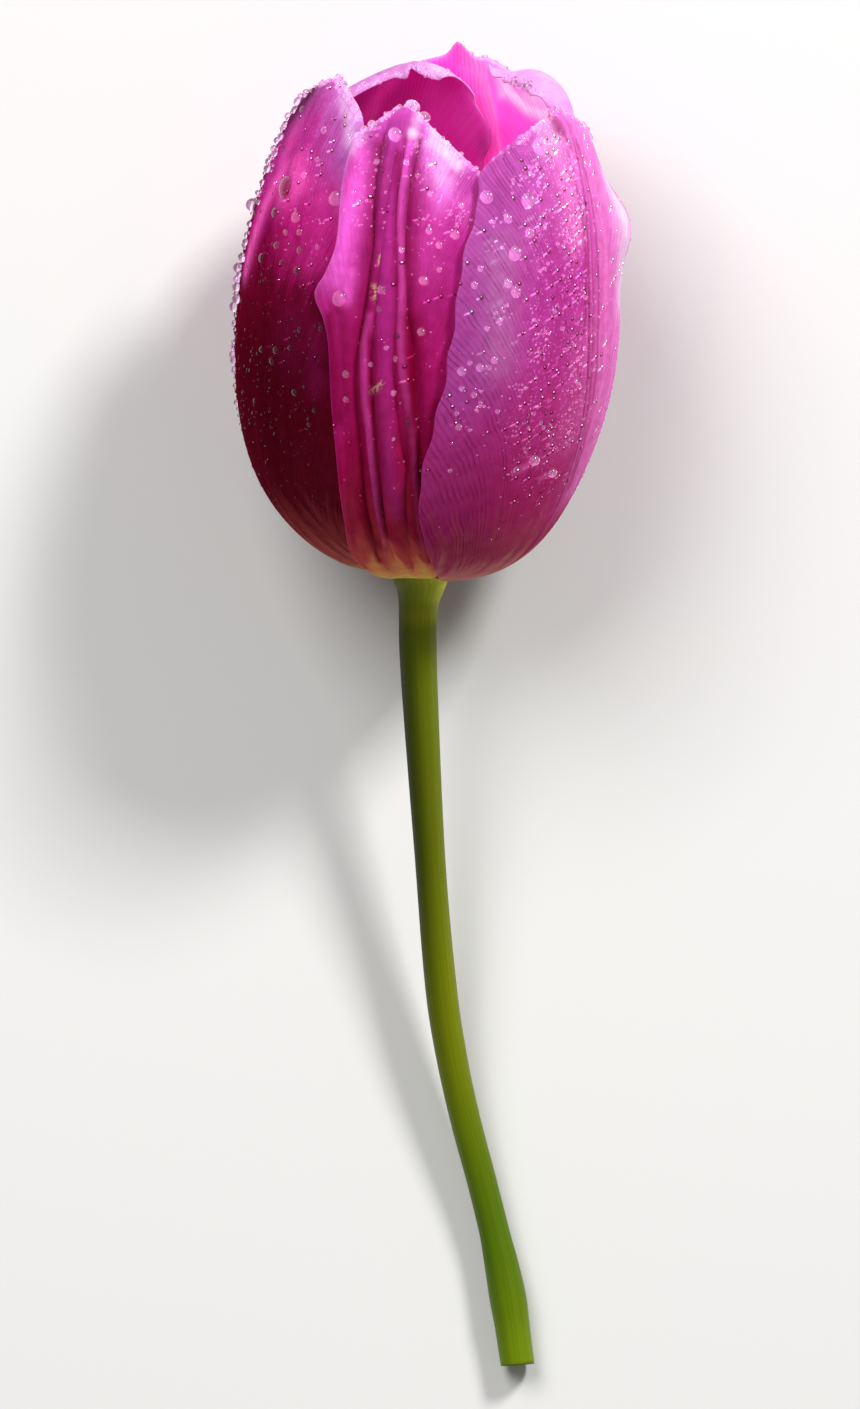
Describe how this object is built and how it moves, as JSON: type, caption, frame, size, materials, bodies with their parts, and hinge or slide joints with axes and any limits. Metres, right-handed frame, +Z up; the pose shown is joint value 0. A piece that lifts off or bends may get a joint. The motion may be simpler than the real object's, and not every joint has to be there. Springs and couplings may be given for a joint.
{
  "type": "cut tulip flower",
  "caption": "Single cut tulip lying on its side, with overlapping petals round a pistil and stamens, on a curved leafless stem.",
  "frame": {"origin": "middle of the small flat spot under the lowest petal, on the surface that the flower lies on", "axes": "+Z up from that surface, +Y from the stem's cut end towards the bloom, +X to the right seen from above with the bloom at the top"},
  "size_m": [0.0594, 0.1997, 0.0589],
  "materials": {
    "petal": "satin",
    "stem": "satin",
    "pistil": "satin",
    "stigma": "matte",
    "filament": "satin",
    "anther": "matte",
    "dew": "gloss"
  },
  "bodies": {
    "root": {"stem": "stem", "petal_outer_right": "petal", "petal_outer_left": "petal", "petal_outer_back": "petal", "petal_inner_front": "petal", "petal_inner_back_right": "petal", "petal_inner_back_left": "petal", "ovary": "pistil", "stigma": "stigma", "filament_1": "filament", "filament_2": "filament", "filament_3": "filament", "filament_4": "filament", "filament_5": "filament", "filament_6": "filament", "anther_1": "anther", "anther_2": "anther", "anther_3": "anther", "anther_4": "anther", "anther_5": "anther", "anther_6": "anther"}
  },
  "joints": []
}
